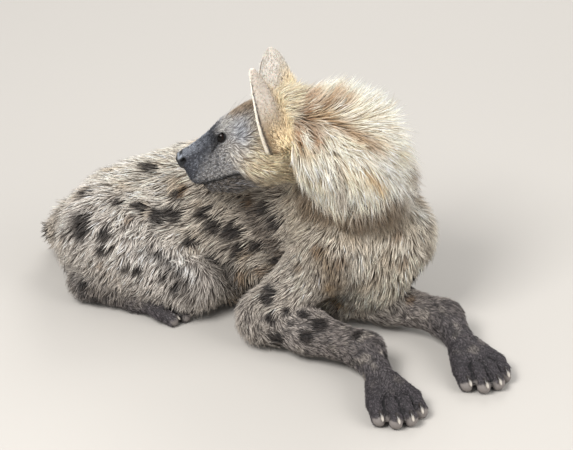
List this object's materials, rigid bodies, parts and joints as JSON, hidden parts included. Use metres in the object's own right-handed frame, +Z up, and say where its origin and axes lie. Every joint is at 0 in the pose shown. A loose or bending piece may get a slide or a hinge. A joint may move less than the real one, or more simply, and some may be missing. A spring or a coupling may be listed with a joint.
{
  "type": "spotted hyena",
  "caption": "Still life-size model of a young spotted hyena that lies on its chest and looks back over its shoulder.",
  "frame": {"origin": "middle of the whole model in plan, on the floor that it lies on", "axes": "+X from the rump towards the forepaws, +Z up, -Y towards the side that the right flank faces"},
  "size_m": [0.8948, 0.7952, 0.5592],
  "materials": {
    "coat": "short to medium matte fur, grey-buff with dark brown spots",
    "mane": "long matte fur, straw to cream with brown partings",
    "leg_fur": "short dark grey-brown fur",
    "muzzle_fur": "very short charcoal fur",
    "nose_skin": "moist black skin",
    "claw": "blunt grey-brown horn",
    "eye": "wet dark brown eye"
  },
  "bodies": {
    "root": {"belly": "coat", "chest": "coat", "claw_left_fore_1": "claw", "claw_left_fore_2": "claw", "claw_left_fore_3": "claw", "claw_left_fore_4": "claw", "claw_left_hind_1": "claw", "claw_left_hind_2": "claw", "claw_left_hind_3": "claw", "claw_left_hind_4": "claw", "claw_right_fore_1": "claw", "claw_right_fore_2": "claw", "claw_right_fore_3": "claw", "claw_right_fore_4": "claw", "claw_right_hind_1": "claw", "claw_right_hind_2": "claw", "claw_right_hind_3": "claw", "claw_right_hind_4": "claw", "face": "muzzle_fur", "head": "coat", "jaw": "muzzle_fur", "left_ear": "coat", "left_eye": "eye", "left_forearm": "leg_fur", "left_forepaw": "leg_fur", "left_hind_foot": "leg_fur", "left_thigh": "coat", "left_upper_arm": "coat", "neck": "mane", "nose": "nose_skin", "right_ear": "coat", "right_eye": "eye", "right_forearm": "leg_fur", "right_forepaw": "leg_fur", "right_hind_foot": "leg_fur", "right_thigh": "coat", "right_upper_arm": "coat", "rump": "coat", "tail": "coat"}
  },
  "joints": []
}
